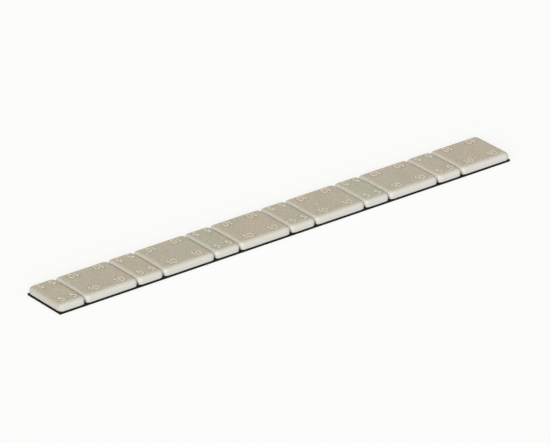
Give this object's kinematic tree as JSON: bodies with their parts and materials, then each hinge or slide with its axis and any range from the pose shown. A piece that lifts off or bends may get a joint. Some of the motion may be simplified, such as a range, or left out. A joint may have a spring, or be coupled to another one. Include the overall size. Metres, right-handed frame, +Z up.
{
  "type": "wheel balance weight",
  "caption": "Adhesive wheel balance weight: soft-edged painted steel blocks, small and large in turn, on a black foam tape with a release liner.",
  "frame": {"origin": "middle of the strip, on the underside of the release liner", "axes": "+X along the strip towards the end with a 10 g block, +Y across it, +Z up from the liner to the steel"},
  "size_m": [0.1994, 0.019, 0.0039],
  "materials": {
    "painted_steel": "soft semi-matt light grey coating over steel",
    "foam_tape": "black closed-cell foam with adhesive on both faces",
    "liner": "smooth off-white release liner"
  },
  "bodies": {
    "root": {"weight_5g_1": "painted_steel", "weight_5g_2": "painted_steel", "weight_5g_3": "painted_steel", "weight_5g_4": "painted_steel", "weight_5g_5": "painted_steel", "weight_5g_6": "painted_steel", "weight_10g_1": "painted_steel", "weight_10g_2": "painted_steel", "weight_10g_3": "painted_steel", "weight_10g_4": "painted_steel", "weight_10g_5": "painted_steel", "weight_10g_6": "painted_steel", "adhesive_tape": "foam_tape", "release_liner": "liner"}
  },
  "joints": []
}
